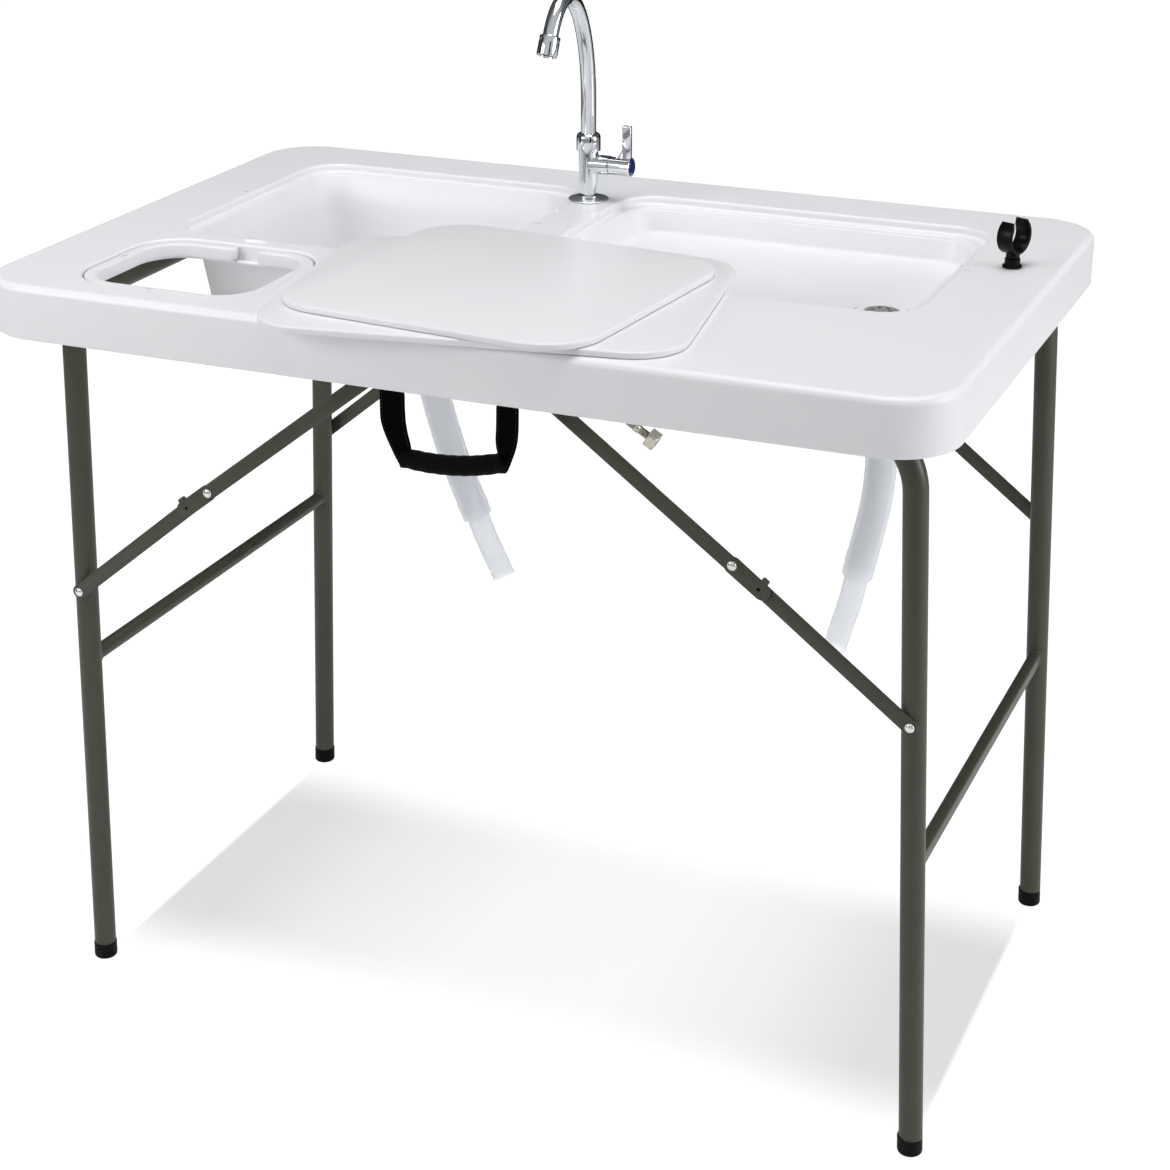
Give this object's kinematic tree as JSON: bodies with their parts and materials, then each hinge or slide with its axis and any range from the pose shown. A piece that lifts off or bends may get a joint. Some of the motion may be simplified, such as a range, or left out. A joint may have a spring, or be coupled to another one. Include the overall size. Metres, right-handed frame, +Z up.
{
  "type": "fish cleaning table",
  "caption": "Folding outdoor fish cleaning table: moulded top with basins and a bag cut-out, gooseneck tap, drain hoses, loose cutting boards, carry handle and braced folding tube legs.",
  "frame": {"origin": "on the floor, under the middle of the bounding box of the open table with its boards laid out", "axes": "+X along the top toward the shallow basin, +Y toward the rear edge where the tap stands, +Z up"},
  "size_m": [1.166, 0.8041, 1.2146],
  "materials": {
    "white_plastic": "fine satin moulded",
    "board_plastic": "fine satin moulded",
    "frame_paint": "semi-gloss powder coat",
    "plated_steel": "satin plated",
    "black_plastic": "satin moulded",
    "webbing": "woven, matte",
    "chrome": "polished",
    "index_blue": "gloss",
    "nickel": "worn nickel plate",
    "clear_hose": "milky translucent",
    "braid": "woven wire"
  },
  "bodies": {
    "top": {"table_top": "white_plastic", "tap_deck_plate": "chrome", "tap_body": "chrome", "tap_collar": "chrome", "tap_nut": "nickel", "clip_base": "black_plastic", "deep_drain_flange": "white_plastic", "deep_drain_nut": "white_plastic", "deep_drain_sleeve": "clear_hose", "deep_drain_hose": "clear_hose", "shallow_drain_flange": "white_plastic", "shallow_drain_nut": "white_plastic", "shallow_drain_sleeve": "clear_hose", "shallow_drain_hose": "clear_hose", "supply_hose": "braid", "supply_stem": "nickel", "left_pivot_bracket_front": "black_plastic", "left_brace_hanger_front": "plated_steel", "left_pivot_bracket_rear": "black_plastic", "left_brace_hanger_rear": "plated_steel", "right_pivot_bracket_front": "black_plastic", "right_brace_hanger_front": "plated_steel", "right_pivot_bracket_rear": "black_plastic", "right_brace_hanger_rear": "plated_steel"},
    "left_frame": {"left_pivot_tube": "frame_paint", "left_crossbar": "frame_paint", "left_leg_front": "frame_paint", "left_leg_rear": "frame_paint", "left_foot_front": "black_plastic", "left_foot_rear": "black_plastic"},
    "left_brace_lower_front": {"left_brace_lower_front": "frame_paint"},
    "left_brace_upper_front": {"left_brace_upper_front": "frame_paint"},
    "left_brace_lower_rear": {"left_brace_lower_rear": "frame_paint"},
    "left_brace_upper_rear": {"left_brace_upper_rear": "frame_paint"},
    "right_frame": {"right_pivot_tube": "frame_paint", "right_crossbar": "frame_paint", "right_leg_front": "frame_paint", "right_leg_rear": "frame_paint", "right_foot_front": "black_plastic", "right_foot_rear": "black_plastic"},
    "right_brace_lower_front": {"right_brace_lower_front": "frame_paint"},
    "right_brace_upper_front": {"right_brace_upper_front": "frame_paint"},
    "right_brace_lower_rear": {"right_brace_lower_rear": "frame_paint"},
    "right_brace_upper_rear": {"right_brace_upper_rear": "frame_paint"},
    "lower_board": {"cutting_board_lower": "board_plastic"},
    "upper_board": {"cutting_board_upper": "board_plastic"},
    "bag_ring": {"bag_ring": "white_plastic"},
    "spout": {"tap_spout": "chrome", "tap_aerator": "chrome"},
    "lever": {"tap_lever": "chrome", "tap_index": "index_blue"},
    "clip_ring": {"clip_ring": "black_plastic"},
    "deep_strainer": {"deep_drain_strainer": "plated_steel"},
    "shallow_strainer": {"shallow_drain_strainer": "plated_steel"},
    "supply_nut": {"supply_nut": "nickel"},
    "carry_handle": {"handle_strap_left": "webbing", "handle_strap_right": "webbing", "handle_grip": "webbing"}
  },
  "joints": [
    {"name": "left_fold", "type": "hinge", "parent": "top", "child": "left_frame", "pos_m": [-0.4944, 0.02547, 0.903], "axis": [0, -1, 0], "range_deg": [0, 92.35], "deforming": ["deep_drain_sleeve", "deep_drain_hose", "supply_hose"]},
    {"name": "left_brace_lower_front_turn", "type": "hinge", "parent": "left_frame", "child": "left_brace_lower_front", "pos_m": [-0.50954, -0.29328, 0.5346], "axis": [0, -1, 0], "range_deg": [0, 58.4]},
    {"name": "left_brace_upper_front_turn", "type": "hinge", "parent": "top", "child": "left_brace_upper_front", "pos_m": [-0.08625, -0.29628, 0.87202], "axis": [0, 1, 0], "range_deg": [0, 35.2]},
    {"name": "left_brace_lower_rear_turn", "type": "hinge", "parent": "left_frame", "child": "left_brace_lower_rear", "pos_m": [-0.50954, 0.34422, 0.5346], "axis": [0, -1, 0], "range_deg": [0, 58.4]},
    {"name": "left_brace_upper_rear_turn", "type": "hinge", "parent": "top", "child": "left_brace_upper_rear", "pos_m": [-0.08625, 0.34722, 0.87202], "axis": [0, 1, 0], "range_deg": [0, 35.2]},
    {"name": "right_fold", "type": "hinge", "parent": "top", "child": "right_frame", "pos_m": [0.47788, 0.02547, 0.88781], "axis": [0, 1, 0], "range_deg": [0, 91.78]},
    {"name": "right_brace_lower_front_turn", "type": "hinge", "parent": "right_frame", "child": "right_brace_lower_front", "pos_m": [0.54214, -0.29328, 0.5529], "axis": [0, 1, 0], "range_deg": [0, 39.97]},
    {"name": "right_brace_upper_front_turn", "type": "hinge", "parent": "top", "child": "right_brace_upper_front", "pos_m": [0.10589, -0.29628, 0.88011], "axis": [0, -1, 0], "range_deg": [0, 36.86]},
    {"name": "right_brace_lower_rear_turn", "type": "hinge", "parent": "right_frame", "child": "right_brace_lower_rear", "pos_m": [0.54214, 0.34422, 0.5529], "axis": [0, 1, 0], "range_deg": [0, 39.97]},
    {"name": "right_brace_upper_rear_turn", "type": "hinge", "parent": "top", "child": "right_brace_upper_rear", "pos_m": [0.10589, 0.34722, 0.88011], "axis": [0, -1, 0], "range_deg": [0, 36.86]},
    {"name": "lower_board_lift", "type": "slide", "parent": "top", "child": "lower_board", "axis": [0, 0, 1], "range_m": [0, 0.12]},
    {"name": "upper_board_lift", "type": "slide", "parent": "lower_board", "child": "upper_board", "axis": [0, 0, 1], "range_m": [0, 0.12]},
    {"name": "bag_ring_lift", "type": "slide", "parent": "top", "child": "bag_ring", "axis": [0, 0, 1], "range_m": [0, 0.08]},
    {"name": "spout_swivel", "type": "hinge", "parent": "top", "child": "spout", "pos_m": [-0.064, 0.26347, 1.01], "axis": [0, 0, 1], "continuous": true},
    {"name": "lever_turn", "type": "hinge", "parent": "top", "child": "lever", "pos_m": [-0.034, 0.26347, 0.987], "axis": [1, 0, 0], "range_deg": [0, 90]},
    {"name": "clip_swivel", "type": "hinge", "parent": "top", "child": "clip_ring", "pos_m": [0.5168, 0.15947, 0.956], "axis": [0, 0, 1], "continuous": true},
    {"name": "deep_strainer_lift", "type": "slide", "parent": "top", "child": "deep_strainer", "axis": [0, 0, 1], "range_m": [0, 0.05]},
    {"name": "shallow_strainer_lift", "type": "slide", "parent": "top", "child": "shallow_strainer", "axis": [0, 0, 1], "range_m": [0, 0.05]},
    {"name": "supply_nut_turn", "type": "hinge", "parent": "top", "child": "supply_nut", "pos_m": [0.015, 0.29947, 0.609], "axis": [0.8572, 0, -0.515], "continuous": true},
    {"name": "handle_swing", "type": "hinge", "parent": "top", "child": "carry_handle", "pos_m": [0.029, -0.34653, 0.873], "axis": [-1, 0, 0], "range_deg": [-15, 90]}
  ],
  "couplings": [
    {"joint": "left_brace_lower_front_turn", "follows": "left_fold", "ratio": 0.63232},
    {"joint": "left_brace_upper_front_turn", "follows": "left_fold", "ratio": 0.38117},
    {"joint": "left_brace_lower_rear_turn", "follows": "left_fold", "ratio": 0.63232},
    {"joint": "left_brace_upper_rear_turn", "follows": "left_fold", "ratio": 0.38117},
    {"joint": "right_brace_lower_front_turn", "follows": "right_fold", "ratio": 0.43554},
    {"joint": "right_brace_upper_front_turn", "follows": "right_fold", "ratio": 0.40161},
    {"joint": "right_brace_lower_rear_turn", "follows": "right_fold", "ratio": 0.43554},
    {"joint": "right_brace_upper_rear_turn", "follows": "right_fold", "ratio": 0.40161}
  ]
}
